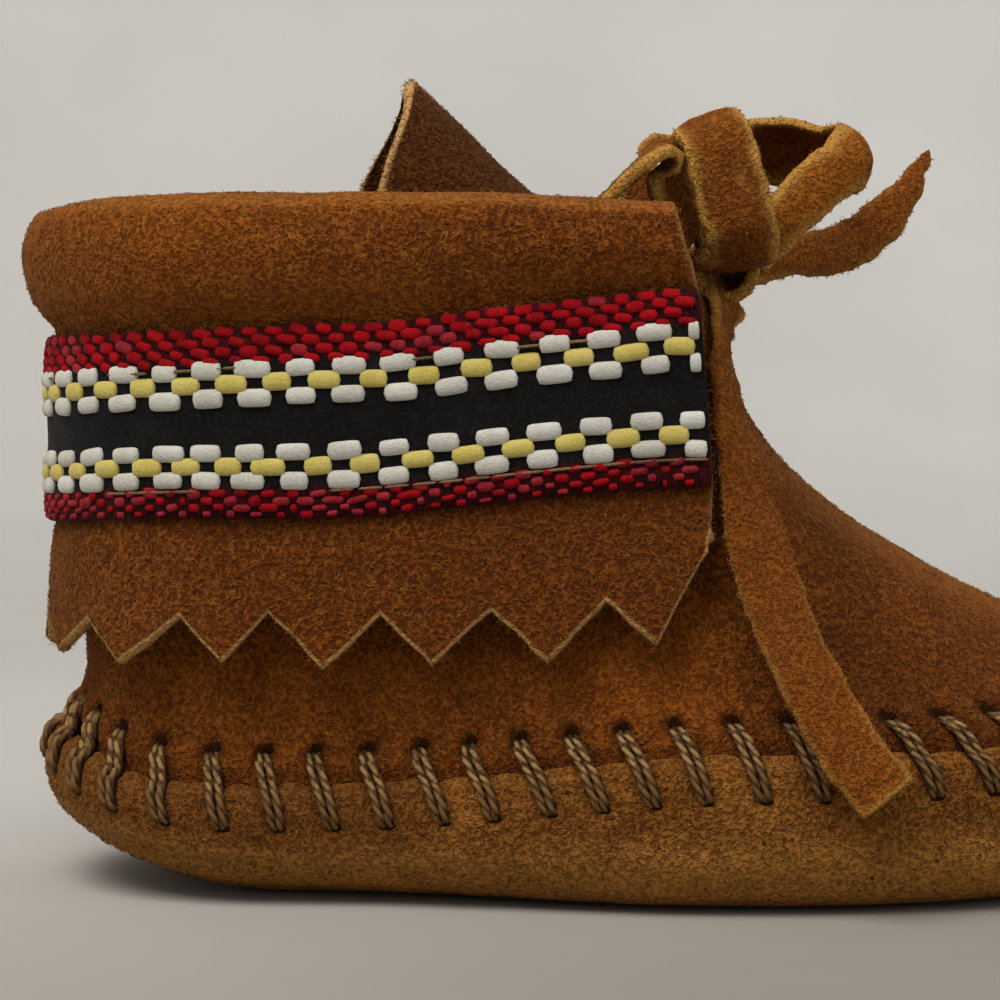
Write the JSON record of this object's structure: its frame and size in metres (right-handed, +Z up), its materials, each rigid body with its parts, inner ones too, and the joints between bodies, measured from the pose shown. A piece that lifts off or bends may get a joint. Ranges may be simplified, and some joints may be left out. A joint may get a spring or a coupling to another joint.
{
  "type": "baby moccasin bootie",
  "caption": "Right ankle-high baby moccasin in brown suede, with a soft wrapped sole, a turned-down saw-toothed cuff, a woven band and a tied thong at the open collar.",
  "frame": {"origin": "on the floor under the middle of the box that holds everything but the tied bow", "axes": "+X to the toe, +Y to the inner side of the right foot, +Z up"},
  "size_m": [0.1108, 0.055, 0.0739],
  "materials": {
    "suede": "brown suede, napped, matt",
    "suede_sole": "brown suede, napped, matt, a little lighter",
    "suede_thong": "brown suede thong with raw edges",
    "braid_cloth": "woven tape, black ground with red, white and yellow floats",
    "thread": "thick twisted tan sewing thread"
  },
  "bodies": {
    "root": {"upper": "suede", "sole": "suede_sole", "insole": "suede", "tongue": "suede", "cuff": "suede", "braid": "braid_cloth", "thong_crossing": "suede_thong", "thong_knot": "suede_thong", "thong_loop_near": "suede_thong", "thong_loop_far": "suede_thong", "thong_tail_near": "suede_thong", "thong_tail_far": "suede_thong"}
  },
  "joints": []
}
